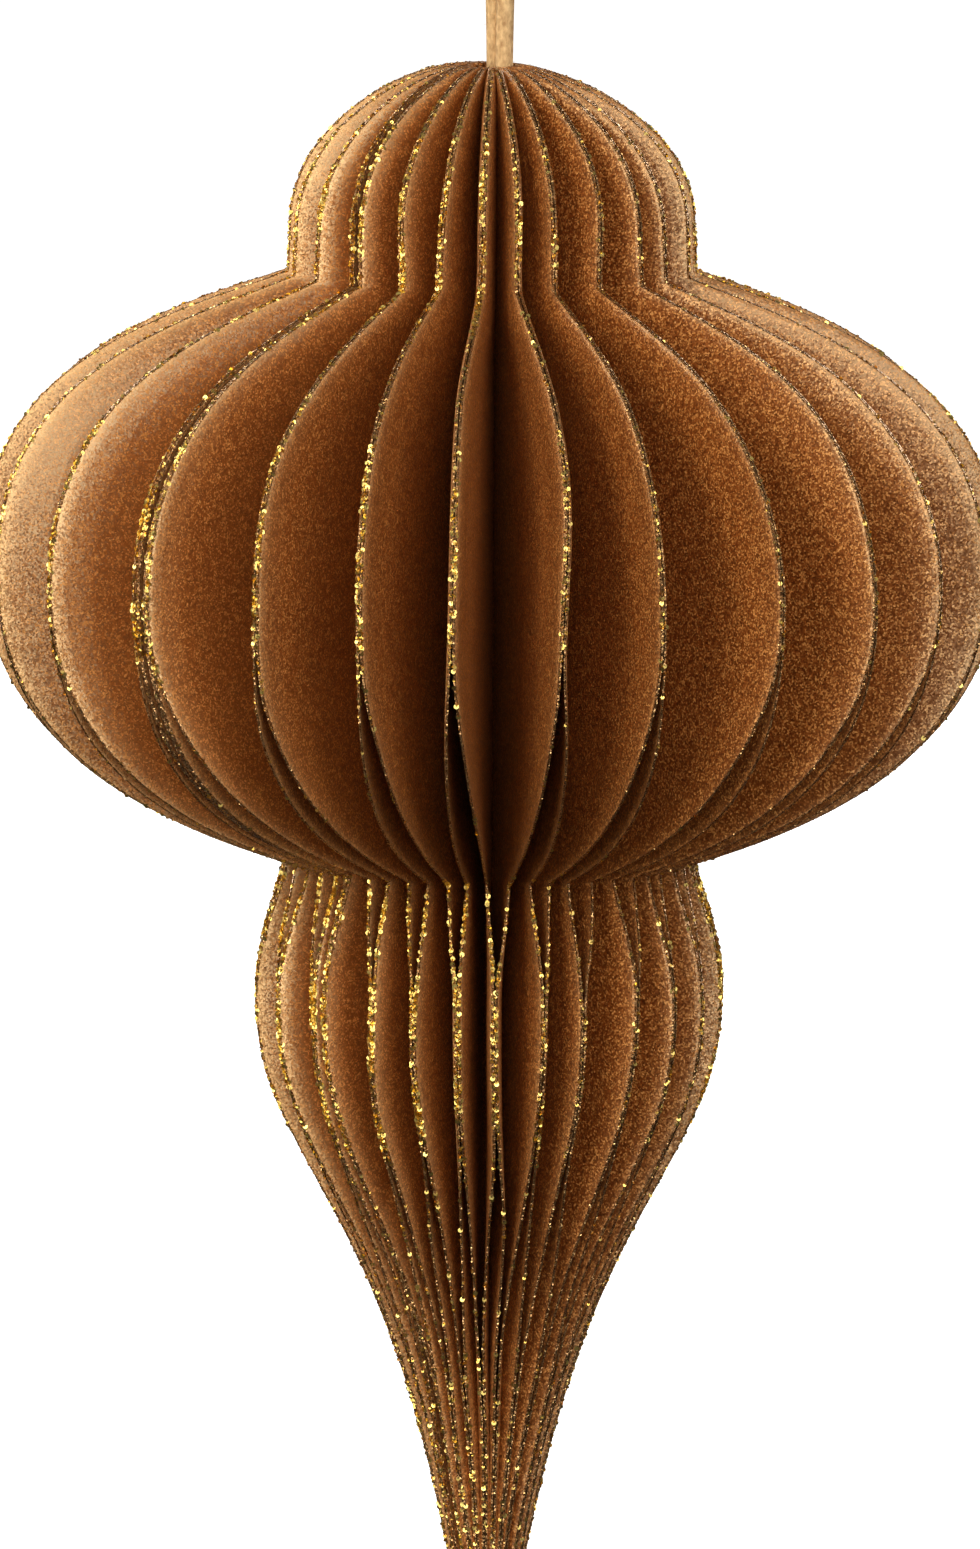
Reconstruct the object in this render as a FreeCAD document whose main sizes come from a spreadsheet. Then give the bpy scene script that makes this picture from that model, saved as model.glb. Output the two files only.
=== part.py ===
import FreeCAD, Part
import math
import os
import Sketcher

# Hanging paper finial: a ring of V-folded card leaves, all cut to one outline of a small dome,
# a wide bulge, a slim second bulge and a drawn-out tip. The leaves are glued back to back round
# a narrow channel. Two thicker cover boards face each other where the ring closes, and a doubled
# cord is glued into the mouth of the channel.
# Frame: the origin is the inside top of the cord loop, where a hook carries it, and +Z is up.
# Bearings are in degrees round Z, 0 at -Y (the front) and growing towards +X.

SIZES = {
    # sheet and glue
    "paper_thickness": 0.3,
    "fold_web": 0.36,
    "glue_angle": 0.04,
    "glue_film": 0.02,
    # closing rib
    "cover_thickness": 0.75,
    "closing_gap": 0.3,
    "closing_bearing": -42.2,
    "cover_foot_margin": 0.1,
    # dome of the outline: radii from the axis, drops from the crown
    "crown_land_radius": 4.2,
    "crown_flat_radius": 9.6,
    "dome_radius": 22.9,
    "dome_drop": 18.2,
    "dome_side_rise": 11.8,
    # upper waist and wide bulge
    "upper_waist_radius": 23.1,
    "upper_waist_drop": 23.4,
    "bulge_top_reach": 9.1,
    "bulge_top_fall": 3.6,
    "bulge_radius": 57.6,
    "bulge_drop": 56.3,
    "bulge_side_rise": 23.6,
    "bulge_side_fall": 23.2,
    "bulge_foot_reach": 9.8,
    "bulge_foot_rise": 3.5,
    # lower waist, second bulge and tip
    "lower_waist_radius": 23.4,
    "lower_waist_drop": 90.2,
    "second_top_reach": 0.5,
    "second_top_fall": 3.8,
    "second_radius": 26.6,
    "second_drop": 105.6,
    "second_side_rise": 7.2,
    "second_side_fall": 18.9,
    "tip_ring": 0.2,
    "tip_drop": 172.5,
    "tip_reach": 8.0,
    "tip_rise": 46.0,
    # cord
    "cord_diameter": 2.0,
    "channel_clearance": 0.6,
    "hook_diameter": 10.0,
    "crown_depth": 48.0,
    "cord_tail": 12.0,
    "strand_gap": 0.1,
    "fork_height": 9.0,
    "cord_aside": 0.4,
    "cord_bearing": 24.0,
}

# Share of the shorter run that an arc of the cord takes, and the most of its box a leaf may fill.
ARC_SHARE = 0.45
FULL_SHARE = 0.5
# How far cuts run past the rim and the tip, and how far past its sharp corner a fold is blunt.
PAST_RIM = 1.3
PAST_TIP = 2.2
BLUNT = 1.05
# A sketch's own origin and horizontal axis.
ORIGIN = (-1, 1)
X_AXIS = -1

# Opening of each leaf in degrees, going round from the closing rib. The first nine and the one
# next to the last are as uneven as the ribs in view; the last leaf takes what is left of the turn.
OPENINGS = [15.2, 12.2, 10.4, 12.8, 11.0, 14.4, 14.2, 12.7, 14.5] + [14.0] * 15 + [16.0]
LEAVES = len(OPENINGS) + 1
for number, opening in enumerate(OPENINGS, 1):
    SIZES["opening_%02d" % number] = opening


class Size:
    """A length or angle known both as a number and as the sheet formula it comes from."""

    def __init__(self, number, formula):
        self.number = number
        self.formula = formula

    def combine(self, other, number, sign):
        text = other.formula if isinstance(other, Size) else str(other)
        return Size(number, "(%s %s %s)" % (self.formula, sign, text))

    def __add__(self, other):
        return self.combine(other, self.number + plain(other), "+")

    def __sub__(self, other):
        return self.combine(other, self.number - plain(other), "-")

    def __mul__(self, other):
        return self.combine(other, self.number * plain(other), "*")

    def __truediv__(self, other):
        return self.combine(other, self.number / plain(other), "/")

    def sin(self):
        return Size(math.sin(math.radians(self.number)), "sin(%s)" % self.formula)

    def cos(self):
        return Size(math.cos(math.radians(self.number)), "cos(%s)" % self.formula)

    def tan(self):
        return Size(math.tan(math.radians(self.number)), "tan(%s)" % self.formula)


def plain(value):
    return value.number if isinstance(value, Size) else value


def larger(one, other):
    return Size(max(one.number, other.number), "max(%s; %s)" % (one.formula, other.formula))


def size(name):
    return Size(SIZES[name], "Sizes.%s" % name)


def write_sheet(doc):
    sheet = doc.addObject("Spreadsheet::Sheet", "Sizes")
    for row, (name, value) in enumerate(SIZES.items(), 1):
        sheet.set("A%d" % row, name)
        sheet.set("B%d" % row, str(value))
        sheet.setAlias("B%d" % row, name)
    doc.recompute()


def bind(thing, prop, value):
    thing.setExpression(prop, value.formula)


def new_sketch(body, name, role, shift=None, turn=None, pivot=(0, 0, 1)):
    """A sketch on one of the body's own origin planes, moved along its normal or turned."""
    sketch = body.newObject("Sketcher::SketchObject", name)
    plane = next(item for item in body.Origin.OriginFeatures if item.Role == role)
    sketch.AttachmentSupport = [(plane, "")]
    sketch.MapMode = "FlatFace"
    if shift:
        bind(sketch, "AttachmentOffset.Base.z", shift)
    if turn:
        lean = FreeCAD.Rotation(FreeCAD.Vector(*pivot), 1)
        sketch.AttachmentOffset = FreeCAD.Placement(FreeCAD.Vector(), lean)
        bind(sketch, "AttachmentOffset.Rotation.Angle", turn)
    return sketch


def hold(sketch, kind, first, second, value, name):
    """A named distance between two points of a sketch, bound to the sheet."""
    place = sketch.addConstraint(Sketcher.Constraint(kind, *first, *second, value.number))
    sketch.renameConstraint(place, name)
    bind(sketch, "Constraints." + name, value)


def hold_point(sketch, point, name, radius, drop):
    """Places a sketch point at a radius from the axis and a drop below the crown."""
    hold(sketch, "DistanceX", ORIGIN, point, radius, name + "_radius")
    if drop is None:
        sketch.addConstraint(Sketcher.Constraint("PointOnObject", *point, X_AXIS))
    else:
        hold(sketch, "DistanceY", point, ORIGIN, drop, name + "_drop")


def add_curve(sketch, name, poles, joined_to=None):
    """A cubic curve through its first and last poles, each pole bound to the sheet."""
    spots = [FreeCAD.Vector(plain(r), -plain(z or 0), 0) for r, z in poles]
    curve = Part.BSplineCurve(spots, [4, 4], [0, 1], False, 3, [1, 1, 1, 1], False)
    place = sketch.addGeometry(curve, False)
    sketch.exposeInternalGeometry(place)
    if joined_to is not None:
        sketch.addConstraint(Sketcher.Constraint("Coincident", joined_to, 2, place, 1))
    for number, (radius, drop) in enumerate(poles, 1):
        if number > 1 or joined_to is None:
            pole = (place + number, 3)
            hold_point(sketch, pole, "%s_%d" % (name, number), radius, drop)
    return place


def add_line(sketch, start, end, after, to=None):
    """A straight edge from the end of one edge, to the start of another or free."""
    spots = [FreeCAD.Vector(plain(r), -plain(z), 0) for r, z in (start, end)]
    place = sketch.addGeometry(Part.LineSegment(*spots), False)
    sketch.addConstraint(Sketcher.Constraint("Coincident", after, 2, place, 1))
    if to is not None:
        sketch.addConstraint(Sketcher.Constraint("Coincident", place, 2, to, 1))
    return place


def draw_outline(sketch, inner):
    """Half of the finial's outline, from the inner radius out to the rim."""
    land = size("crown_land_radius")
    dome = [
        (land, None),
        (size("crown_flat_radius"), None),
        (size("dome_radius"), size("dome_drop") - size("dome_side_rise")),
        (size("dome_radius"), size("dome_drop")),
    ]
    waist = (size("upper_waist_radius"), size("upper_waist_drop"))
    belly = (size("bulge_radius"), size("bulge_drop"))
    upper = [
        waist,
        (waist[0] + size("bulge_top_reach"), waist[1] + size("bulge_top_fall")),
        (belly[0], belly[1] - size("bulge_side_rise")),
        belly,
    ]
    neck = (size("lower_waist_radius"), size("lower_waist_drop"))
    lower = [
        belly,
        (belly[0], belly[1] + size("bulge_side_fall")),
        (neck[0] + size("bulge_foot_reach"), neck[1] - size("bulge_foot_rise")),
        neck,
    ]
    second = (size("second_radius"), size("second_drop"))
    swell = [
        neck,
        (neck[0] + size("second_top_reach"), neck[1] + size("second_top_fall")),
        (second[0], second[1] - size("second_side_rise")),
        second,
    ]
    tip = (cover_foot() + size("tip_ring"), size("tip_drop"))
    drawn = [
        second,
        (second[0], second[1] + size("second_side_fall")),
        (tip[0] + size("tip_reach"), tip[1] - size("tip_rise")),
        tip,
    ]
    dome_edge = add_curve(sketch, "dome", dome)
    upper_edge = add_curve(sketch, "upper", upper)
    add_line(sketch, dome[3], waist, dome_edge, upper_edge)
    lower_edge = add_curve(sketch, "lower", lower, upper_edge)
    swell_edge = add_curve(sketch, "swell", swell, lower_edge)
    drawn_edge = add_curve(sketch, "drawn", drawn, swell_edge)
    foot = (inner, tip[1])
    foot_edge = add_line(sketch, tip, foot, drawn_edge)
    sketch.addConstraint(Sketcher.Constraint("Horizontal", foot_edge))
    inner_edge = add_line(sketch, foot, (inner, 0), foot_edge)
    sketch.addConstraint(Sketcher.Constraint("Vertical", inner_edge))
    land_edge = add_line(sketch, (inner, 0), (land, 0), inner_edge, dome_edge)
    sketch.addConstraint(Sketcher.Constraint("Horizontal", land_edge))
    hold(sketch, "DistanceX", ORIGIN, (inner_edge, 2), inner, "inner_radius")


def draw_polygon(sketch, corners):
    """A closed polygon of corners, each a name, an x and a y, or no y where it is 0."""
    count = len(corners)
    spots = [FreeCAD.Vector(x.number, plain(y or 0), 0) for _, x, y in corners]
    for number in range(count):
        sketch.addGeometry(Part.LineSegment(spots[number], spots[(number + 1) % count]), False)
    for number in range(count):
        follower = (number + 1) % count
        sketch.addConstraint(Sketcher.Constraint("Coincident", number, 2, follower, 1))
    for number, (name, x, y) in enumerate(corners):
        hold(sketch, "DistanceX", ORIGIN, (number, 1), x, name + "_x")
        if y is None:
            sketch.addConstraint(Sketcher.Constraint("PointOnObject", number, 1, X_AXIS))
        else:
            hold(sketch, "DistanceY", ORIGIN, (number, 1), y, name + "_y")


def cut_through(body, name, sketch):
    """Cuts the sketch through the whole height of the body, up and down from its plane."""
    pocket = body.newObject("PartDesign::Pocket", name)
    pocket.Profile = sketch
    pocket.SideType = "Symmetric"
    bind(pocket, "Length", size("tip_drop") * PAST_TIP)
    return pocket


def stand(body, bearing):
    """Turns a piece to its bearing and drops its crown to its depth below the hook."""
    bind(body, "Placement.Base.z", size("crown_depth") * -1)
    body.Placement.Rotation = FreeCAD.Rotation(FreeCAD.Vector(0, 0, 1), 1)
    bind(body, "Placement.Rotation.Angle", bearing - 90)


def channel_radius():
    return size("cord_diameter") + size("channel_clearance")


def seat_depth():
    """How far an end leaf stands off the closing plane, outside its cover board."""
    return size("closing_gap") / 2 + size("cover_thickness") + size("glue_film")


def cover_foot():
    """Inner edge of the cover boards, clear of the leaves next to the end leaves."""
    first = size("opening_01")
    last = last_opening()
    return larger(seat_depth() / first.tan(), seat_depth() / last.tan()) + size("cover_foot_margin")


def last_opening():
    """What the other leaves leave of the full turn."""
    rest = size("opening_01") * -1 + 360
    for number in range(2, LEAVES):
        rest = rest - size("opening_%02d" % number)
    return rest


def revolve(body, name, sketch, angle):
    """Sweeps a half outline round the axis, half of the angle to each side."""
    wedge = body.newObject("PartDesign::Revolution", name)
    wedge.Profile = sketch
    wedge.ReferenceAxis = (sketch, ["V_Axis"])
    wedge.Midplane = True
    bind(wedge, "Angle", angle)


def fold_radius(apex):
    """Where the V between two wings ends: past its sharp corner, and clear of the channel."""
    return larger(apex * BLUNT, channel_radius() + size("fold_web"))


def make_leaf(doc, name, opening, start):
    """One V-folded sheet: its fold along the channel, and two flat wings cut to the outline."""
    body = doc.addObject("PartDesign::Body", name)
    spread = opening - size("glue_angle")
    wall = size("paper_thickness")
    inner = channel_radius()
    fold = fold_radius(wall / (spread / 2).sin())
    spine = new_sketch(body, "Spine", "XZ_Plane")
    foot = size("tip_drop") * -1
    corners = [("inner_foot", inner, foot), ("outer_foot", fold, foot)]
    corners += [("outer_top", fold, None), ("inner_top", inner, None)]
    draw_polygon(spine, corners)
    revolve(body, "Fold", spine, spread)
    for side, label in ((-1, "Right"), (1, "Left")):
        turn = spread / 2 * side
        outline = new_sketch(body, label, "XZ_Plane", turn=turn, pivot=(0, 1, 0))
        draw_outline(outline, inner + size("fold_web") / 2)
        wing = body.newObject("PartDesign::Pad", label + "Wing")
        wing.Profile = outline
        wing.Reversed = side < 0
        bind(wing, "Length", wall)
    stand(body, start + opening / 2)
    return body


def make_end_leaf(doc, name, opening, start, side):
    """The first or last sheet of the ring, stood off its cover board on the -1 or 1 side."""
    body = doc.addObject("PartDesign::Body", name)
    half = opening / 2
    outline = new_sketch(body, "Outline", "XZ_Plane")
    draw_outline(outline, channel_radius())
    revolve(body, "Wedge", outline, opening - size("glue_angle"))
    far = size("bulge_radius") * PAST_RIM
    seat = seat_depth()
    # The V between the wings: its sides run parallel to the outer faces, one sheet inside them.
    apex = (size("paper_thickness") * 2 + seat) / (half.sin() * 2)
    aside = seat / (half.cos() * 2) * -side
    fold = fold_radius(apex)
    near_half = (fold - apex) * half.tan()
    far_half = (far - apex) * half.tan()
    corners = [
        ("fold_right", fold, aside - near_half),
        ("rim_right", far, aside - far_half),
        ("rim_left", far, aside + far_half),
        ("fold_left", fold, aside + near_half),
    ]
    valley = new_sketch(body, "Valley", "XY_Plane")
    draw_polygon(valley, corners)
    cut_through(body, "Fold", valley)
    cut_seat(body, half, seat, far, side)
    stand(body, start + half)
    return body


def cut_seat(body, half, seat, far, side):
    """Takes away the strip of the wedge that the cover board and half the closing gap fill."""
    strip = new_sketch(body, "Strip", "XY_Plane", turn=half * side)
    behind = channel_radius() * -1
    outside = size("cover_thickness") * side
    inside = seat * -side
    corners = [
        ("behind_out", behind, outside),
        ("rim_out", far, outside),
        ("rim_in", far, inside),
        ("behind_in", behind, inside),
    ]
    draw_polygon(strip, corners)
    cut_through(body, "Seat", strip)


def make_cover(doc, name, side):
    """One cover board, flat and cut to the outline, half the closing gap off the closing plane."""
    body = doc.addObject("PartDesign::Body", name)
    outline = new_sketch(body, "Outline", "XZ_Plane", size("closing_gap") / 2 * side)
    draw_outline(outline, cover_foot())
    board = body.newObject("PartDesign::Pad", "Board")
    board.Profile = outline
    board.Reversed = side < 0
    bind(board, "Length", size("cover_thickness"))
    stand(body, size("closing_bearing"))
    return body


def hook_contact(strand, fork, centre, bend):
    """The angle at which a strand rises from the fork, and where it meets the hook's round."""
    away = math.hypot(strand, centre - fork)
    rise = math.atan2(centre - fork, strand) + math.asin(bend / away)
    straight = math.sqrt(away**2 - bend**2)
    contact = (-strand + straight * math.cos(rise), fork + straight * math.sin(rise))
    return rise - math.pi / 2, straight, contact


def cord_edges():
    """Half of the cord's line, from its glued tail up to the top of the loop."""
    cord = size("cord_diameter").number
    strand = cord / 2 + size("strand_gap").number / 2
    bend = size("hook_diameter").number / 2 + cord / 2
    centre = size("crown_depth").number + cord / 2 - bend
    fork = size("fork_height").number
    tail = size("cord_tail").number
    spread, straight, contact = hook_contact(strand, fork, centre, bend)
    trim = ARC_SHARE * min(fork + tail, straight)
    radius = trim / math.tan(spread / 2)
    print("cord bends: fork %.1f mm, hook %.1f mm" % (radius, bend))
    turn_start = (-strand, fork - trim)
    turn_middle = (
        -strand - radius * (1 - math.cos(spread / 2)),
        fork - trim + radius * math.sin(spread / 2),
    )
    turn_end = (-strand - trim * math.sin(spread), fork + trim * math.cos(spread))
    hook_middle = (-bend * math.cos(math.pi / 4), centre + bend * math.sin(math.pi / 4))
    return [
        ((-strand, -tail), turn_start),
        (turn_start, turn_middle, turn_end),
        (turn_end, contact),
        (contact, hook_middle, (0, centre + bend)),
    ]


def cord_wire():
    """The whole loop in its own plane, the second half a mirror of the first."""
    half = cord_edges()
    mirrored = [[(-across, high) for across, high in reversed(edge)] for edge in reversed(half)]
    edges = []
    for edge in half + mirrored:
        spots = [FreeCAD.Vector(across, 0, high) for across, high in edge]
        curve = Part.Arc(*spots) if len(spots) == 3 else Part.LineSegment(*spots)
        edges.append(curve.toShape())
    return Part.Wire(edges)


def make_cord(doc, name):
    """The doubled cord: up out of the channel, round the hook and down again."""
    wire = cord_wire()
    start = wire.Vertexes[0].Point
    radius = size("cord_diameter").number / 2
    ring = Part.makeCircle(radius, start, FreeCAD.Vector(0, 0, 1))
    shape = wire.makePipeShell([Part.Wire(ring)], True, False)
    filled = shape.Volume / (math.pi * radius**2 * wire.Length)
    print("cord: %.1f mm long, %.4f of section times length" % (wire.Length, filled))
    feature = doc.addObject("Part::Feature", name)
    feature.Shape = shape
    feature.Placement = FreeCAD.Placement(
        FreeCAD.Vector(size("cord_aside").number, 0, -size("crown_depth").number),
        FreeCAD.Rotation(FreeCAD.Vector(0, 0, 1), size("cord_bearing").number - 90),
    )
    return feature


def check(doc, pieces):
    """Stops if any object failed to build or any piece is empty or faulty."""
    for item in doc.Objects:
        if "Invalid" in item.State or "Error" in item.State:
            raise RuntimeError("failed: %s %s" % (item.Label, item.State))
    for piece in pieces:
        shape = piece.Shape
        if shape.isNull() or not shape.isValid() or len(shape.Solids) != 1:
            raise RuntimeError("not one sound solid: %s" % piece.Label)
        full = FULL_SHARE * shape.BoundBox.XLength * shape.BoundBox.YLength
        if shape.Volume > full * shape.BoundBox.ZLength:
            raise RuntimeError("not hollowed: %s" % piece.Label)


def main():
    doc = FreeCAD.newDocument("PaperFinial")
    write_sheet(doc)
    openings = [size("opening_%02d" % number) for number in range(1, LEAVES)]
    pieces = []
    start = size("closing_bearing")
    pieces.append(make_end_leaf(doc, "leaf_01", openings[0], start, -1))
    for number, opening in enumerate(openings[1:], 2):
        start = start + openings[number - 2]
        pieces.append(make_leaf(doc, "leaf_%02d" % number, opening, start))
    start = start + openings[-1]
    pieces.append(make_end_leaf(doc, "leaf_%02d" % LEAVES, last_opening(), start, 1))
    pieces.append(make_cover(doc, "cover_first", -1))
    pieces.append(make_cover(doc, "cover_last", 1))
    pieces.append(make_cord(doc, "hanging_cord"))
    doc.recompute()
    check(doc, pieces)
    os.makedirs("parts", exist_ok=True)
    for piece in pieces:
        piece.Shape.exportStep("parts/%s.step" % piece.Label)
        print("%s %.1f mm3" % (piece.Label, piece.Shape.Volume))


main()
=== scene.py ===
import math
import random

import bpy
import numpy as np
from mathutils import Matrix, Vector


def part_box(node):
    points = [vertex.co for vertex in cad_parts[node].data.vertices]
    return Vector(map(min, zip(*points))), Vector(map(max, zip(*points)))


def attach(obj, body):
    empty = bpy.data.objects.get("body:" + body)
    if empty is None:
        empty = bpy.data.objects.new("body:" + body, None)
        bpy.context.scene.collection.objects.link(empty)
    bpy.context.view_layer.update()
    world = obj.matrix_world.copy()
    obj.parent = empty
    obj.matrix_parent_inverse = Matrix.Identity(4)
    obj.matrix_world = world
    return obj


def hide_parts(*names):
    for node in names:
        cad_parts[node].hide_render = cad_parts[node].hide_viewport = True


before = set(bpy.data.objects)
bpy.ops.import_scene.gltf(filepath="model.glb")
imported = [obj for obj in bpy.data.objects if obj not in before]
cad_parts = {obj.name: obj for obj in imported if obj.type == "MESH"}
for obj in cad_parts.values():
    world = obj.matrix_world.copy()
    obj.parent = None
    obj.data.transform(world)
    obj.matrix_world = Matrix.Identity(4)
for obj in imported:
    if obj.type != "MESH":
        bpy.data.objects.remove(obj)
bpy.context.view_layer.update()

# The folded leaves.
# Each is one sheet of copper-brown shimmer card, folded to a V and cut to the finial's outline.
# Over the dome and the wide bulge a wing is glued to the wing of the next leaf. Over the second
# bulge it is glued to the other wing of its own leaf, so the rims part and change partners.
# Bearings are in degrees from the front, to the right. Ribs 0 to 26 are the glued pairs of wings,
# and leaf 1 lies between ribs 0 and 1. Drops are millimetres below the crown. Lips (by rib) and
# bows (by leaf) are the millimetres that a wing swells beside its rim and in its middle.
MM = 0.001
LEAVES = 26
PAPER = 0.3 * MM
GLUE = 0.02 * MM
CHANNEL = 2.6 * MM
CLOSING = -42.2
OPENINGS = [15.2, 12.2, 10.4, 12.8, 11.0, 14.4, 14.2, 12.7, 14.5] + [14.0] * 15 + [16.0]
DOME_SHIFTS = {1: 0.5, 3: 2.0, 4: -1.1, 5: -1.7, 6: -1.9, 7: -0.7, 8: -3.2, 9: -1.5}
LOWER_BEARINGS = {1: -30.6, 2: -18.9, 3: -7.5, 4: 2.4, 5: 13.4, 6: 24.1, 7: 39.1, 8: 51.5,
                  9: 65.5, 10: 80.5, 25: 295.7, 26: 310.6}
USUAL_LIP = 0.33
LIPS = {0: 0.45, 1: 0.4, 2: 0.36, 5: 0.26, 6: 0.24, 7: 0.24, 8: 0.24,
        23: 1.6, 24: 1.7, 25: 0.5, 26: 0.5}
USUAL_BOW = 0.6
BOWS = {8: 1.0, 9: 1.5, 10: 1.8, 24: 2.2, 25: 2.6, 26: 1.4}
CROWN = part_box("leaf_05")[1].z
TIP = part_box("leaf_05")[0].z
BULGE = 57.6 * MM


def cubic(poles, steps):
    """Points of a cubic curve with the given poles, without its last point."""
    t = np.linspace(0, 1, steps, endpoint=False)[:, None]
    p = np.array(poles)
    return (1 - t)**3 * p[0] + 3 * (1 - t)**2 * t * p[1] + 3 * (1 - t) * t**2 * p[2] + t**3 * p[3]


def half_outline(fineness):
    """The finial's outline from crown to tip, as radius and millimetres below the crown."""
    waist, belly, neck, second, tip = (
        (23.1, 23.4), (57.6, 56.3), (23.4, 90.2), (26.6, 105.6), (3.7, 172.5))
    pieces = [
        cubic([(4.2, 0), (9.6, 0), (22.9, 6.4), (22.9, 18.2)], 22 * fineness),
        cubic([(22.9, 18.2), (22.95, 20), (23.05, 22), waist], 4 * fineness),
        cubic([waist, (32.2, 27.0), (57.6, 32.7), belly], 30 * fineness),
        cubic([belly, (57.6, 79.5), (33.2, 86.7), neck], 32 * fineness),
        cubic([neck, (23.9, 94.0), (26.6, 98.4), second], 12 * fineness),
        cubic([second, (26.6, 124.5), (11.7, 126.5), tip], 30 * fineness),
        np.array([tip]),
    ]
    return np.concatenate(pieces)


def smooth(low, high, value):
    """A soft step from 0 at the low value to 1 at the high one."""
    share = np.clip((value - low) / (high - low), 0, 1)
    return share * share * (3 - 2 * share)


LEVELS = half_outline(1)
DROP = LEVELS[:, 1]
STEM_SWELL = 0.3
STEM_DROPS = (112, 130)
REACH = (LEVELS[:, 0] + STEM_SWELL * smooth(*STEM_DROPS, DROP)) * MM
HEIGHT = CROWN - DROP * MM
FINE = half_outline(8) * MM
FINE[:, 0] += STEM_SWELL * MM * smooth(*STEM_DROPS, FINE[:, 1] / MM)
PARTNER_DROPS = [60, 65, 72, 78, 86, 91, 96, 100, 102.5, 118, 123, 130, 138, 148, 156]
PARTNER_SHARES = [0, 0.04, 0.17, 0.27, 0.43, 0.53, 0.75, 0.94, 1, 1, 0.93, 0.68, 0.42, 0.1, 0]
RIM_STEPS = np.array([1.7, 0.9, 0.42, 0.16, 0]) * MM
LIP_SPREAD = 2.8
RIM_THINNING = 0.45
RIM_ROUNDING = 0.35 * MM
CHANGE_EASE = 0.8
SHOULDER_LIFT = 0.9
CROWN_DIP = 0.6
CROWN_HALF_WIDTH = 8 * MM
DOME_END = (20, 34)
SHOULDER_START = (24, 40)
SHOULDER_END = (50, 68)
CROWN_END = (2, 14)
LIP_REACHES = (8, 20)
SWAY_SHARES = (0.3, 1.0)
WAVE_LENGTHS = (24, 80)
WAVE_STARTS = (0, 6.3)
FULL_TURN = 6.283
INNER_COLUMNS = 8
INNER_SPACING = 1.3
COLUMNS = INNER_COLUMNS + len(RIM_STEPS)


def waves(draw, low, high):
    """A small seeded waviness along the height, as a list of heights, lengths and starts."""
    return [(draw.uniform(low, high) * MM, draw.uniform(*WAVE_LENGTHS),
             draw.uniform(*WAVE_STARTS)) for _ in range(3)]


def wavy(parts, drop):
    """The sideways sway of a wing at each drop below the crown."""
    return sum(high * np.sin(FULL_TURN * drop / long + start) for high, long, start in parts)


def rim_distance(radius, height):
    """Distance of each point of a wing from the cut rim."""
    flat = np.stack([radius.ravel(), (CROWN - height).ravel()], 1)
    gaps = np.linalg.norm(flat[:, None, :] - FINE[None, :, :], axis=2).min(1)
    return gaps.reshape(radius.shape)


def card_face(rib, fold, side, inner, depth, thickness, seat=0.0, trim=0.0):
    """One face of a wing or cover board, a grid from axis to rim at every level.

    The rib gives its bearing over the dome and the wide bulge, the fold the bearing over the
    second bulge. Depth goes from the glued face (0) to the open face (1). Seat holds the face off
    the rib's middle by that much, and trim cuts its rim back."""
    reach = REACH - trim
    span = np.maximum(reach - inner, 0.05 * MM)
    ease = np.minimum(1, span / (6 * MM))
    start = reach - RIM_STEPS[0] * ease
    part = 1 - (1 - np.linspace(0, 1, INNER_COLUMNS + 1)[:-1]) ** INNER_SPACING
    radius = np.concatenate([
        inner[:, None] + (start - inner)[:, None] * part[None, :],
        reach[:, None] - RIM_STEPS[None, :] * ease[:, None],
    ], 1)
    share = (radius - inner[:, None]) / span[:, None]
    height = np.repeat(HEIGHT[:, None], COLUMNS, 1)
    drop = np.repeat(DROP[:, None], COLUMNS, 1)
    edge = rim_distance(radius, height)
    change = np.interp(drop + fold["early"], PARTNER_DROPS, PARTNER_SHARES) * share ** CHANGE_EASE
    upper = rib["bearing"] + rib["dome"] * (1 - smooth(*DOME_END, drop))
    bearing = upper + (fold["bearing"] - upper) * change
    outer = smooth(*SWAY_SHARES, share)
    sway = (wavy(rib["waves"], drop) * (1 - change) + wavy(fold["waves"], drop) * change) * outer
    lip = USUAL_LIP + (rib["lip"] - USUAL_LIP) * smooth(*LIP_REACHES, reach / MM)[:, None]
    puff = lip * MM * (1 - np.exp(-edge / (LIP_SPREAD * lip * MM)))
    swell = fold["bow"] * np.sin(np.pi * share) * np.minimum(1, reach / BULGE)[:, None]
    card = thickness * (1 - RIM_THINNING + RIM_THINNING * smooth(0, RIM_ROUNDING, edge))
    middle = (GLUE + thickness / 2 + puff) * (1 - 2 * change) + swell * (1 - change)
    middle = middle + seat * (1 - change ** 3)
    aside = sway + side * (middle + (depth - 0.5) * card)
    angle = np.radians(bearing - 90)
    x = np.cos(angle) * radius - np.sin(angle) * aside
    y = np.sin(angle) * radius + np.cos(angle) * aside
    shoulder = smooth(*SHOULDER_START, drop) * (1 - smooth(*SHOULDER_END, drop))
    crown = 1 - smooth(*CROWN_END, drop)
    lift = SHOULDER_LIFT * shoulder * np.clip(-x / BULGE, 0, 1)
    dip = CROWN_DIP * crown * np.clip(x / CROWN_HALF_WIDTH, 0, 1)
    return np.stack([x, y, height + (lift - dip) * MM * outer], 2)


def placed(name, data):
    """A new object with the given data, linked to the scene."""
    thing = bpy.data.objects.new(name, data)
    bpy.context.scene.collection.objects.link(thing)
    return thing


def meshed(name, points, faces):
    """A new object with a mesh of the given points and faces."""
    mesh = bpy.data.meshes.new(name)
    mesh.from_pydata(points, [], faces)
    mesh.update()
    return placed(name, mesh)


def blank_material(name):
    """A new material, with its nodes, its links and its shader."""
    material = bpy.data.materials.new(name)
    material.use_nodes = True
    tree = material.node_tree
    return material, tree.nodes, tree.links, tree.nodes["Principled BSDF"]


def colour_ramp(nodes, low, high):
    """A ramp between two colours, each given with its position."""
    ramp = nodes.new("ShaderNodeValToRGB")
    for element, (position, colour) in zip(ramp.color_ramp.elements, (low, high)):
        element.position = position
        element.color = colour
    return ramp


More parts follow.
